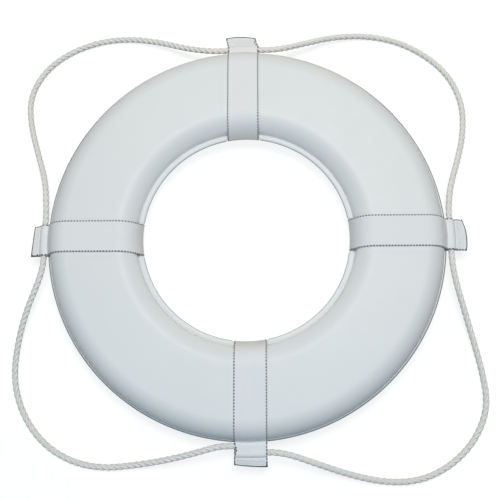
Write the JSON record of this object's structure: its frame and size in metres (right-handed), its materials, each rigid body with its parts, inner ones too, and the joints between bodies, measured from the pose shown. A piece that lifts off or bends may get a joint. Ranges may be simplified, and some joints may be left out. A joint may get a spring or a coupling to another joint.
{
  "type": "ring lifebuoy",
  "caption": "Ring lifebuoy: foam ring in a welded vinyl cover, webbing straps, and a grab line in free loops.",
  "frame": {"origin": "on the ring's axis, on the surface that the ring lies on, centred on the ring and its straps", "axes": "+Z along the ring's axis, up from the surface; +Y towards the top strap; +X towards the right strap"},
  "size_m": [0.7204, 0.7157, 0.0653],
  "materials": {
    "vinyl_cover": "satin",
    "closed_cell_foam": "matte",
    "webbing": "matte",
    "thread": "satin",
    "rope": "satin"
  },
  "bodies": {
    "buoy": {"foam_core_front": "closed_cell_foam", "foam_core_back": "closed_cell_foam", "skin_front": "vinyl_cover", "skin_back": "vinyl_cover", "strap_right": "webbing", "strap_top": "webbing", "strap_left": "webbing", "strap_bottom": "webbing", "stitching_right": "thread", "stitching_top": "thread", "stitching_left": "thread", "stitching_bottom": "thread", "rope_in_right_strap": "rope", "rope_in_top_strap": "rope", "rope_in_left_strap": "rope", "rope_end_left": "rope", "rope_end_right": "rope", "whipping_left": "thread", "whipping_right": "thread", "seizing": "thread"},
    "top_left_loop": {"rope_loop_top_left": "rope"},
    "top_right_loop": {"rope_loop_top_right": "rope"},
    "bottom_right_loop": {"rope_loop_bottom_right": "rope"},
    "bottom_left_loop": {"rope_loop_bottom_left": "rope"}
  },
  "joints": [
    {"name": "swing_top_left_loop", "type": "hinge", "parent": "buoy", "child": "top_left_loop", "pos_m": [-0.17215, 0.1675, 0.03265], "axis": [0.6991, 0.715, 0], "range_deg": [0, 60]},
    {"name": "swing_top_right_loop", "type": "hinge", "parent": "buoy", "child": "top_right_loop", "pos_m": [0.1675, 0.17115, 0.03265], "axis": [0.7175, -0.6966, 0], "range_deg": [0, 60]},
    {"name": "swing_bottom_right_loop", "type": "hinge", "parent": "buoy", "child": "bottom_right_loop", "pos_m": [0.1733, -0.172, 0.03265], "axis": [-0.6861, -0.7275, 0], "range_deg": [0, 60]},
    {"name": "swing_bottom_left_loop", "type": "hinge", "parent": "buoy", "child": "bottom_left_loop", "pos_m": [-0.16635, -0.17095, 0.03265], "axis": [-0.7195, 0.6945, 0], "range_deg": [0, 60]}
  ]
}
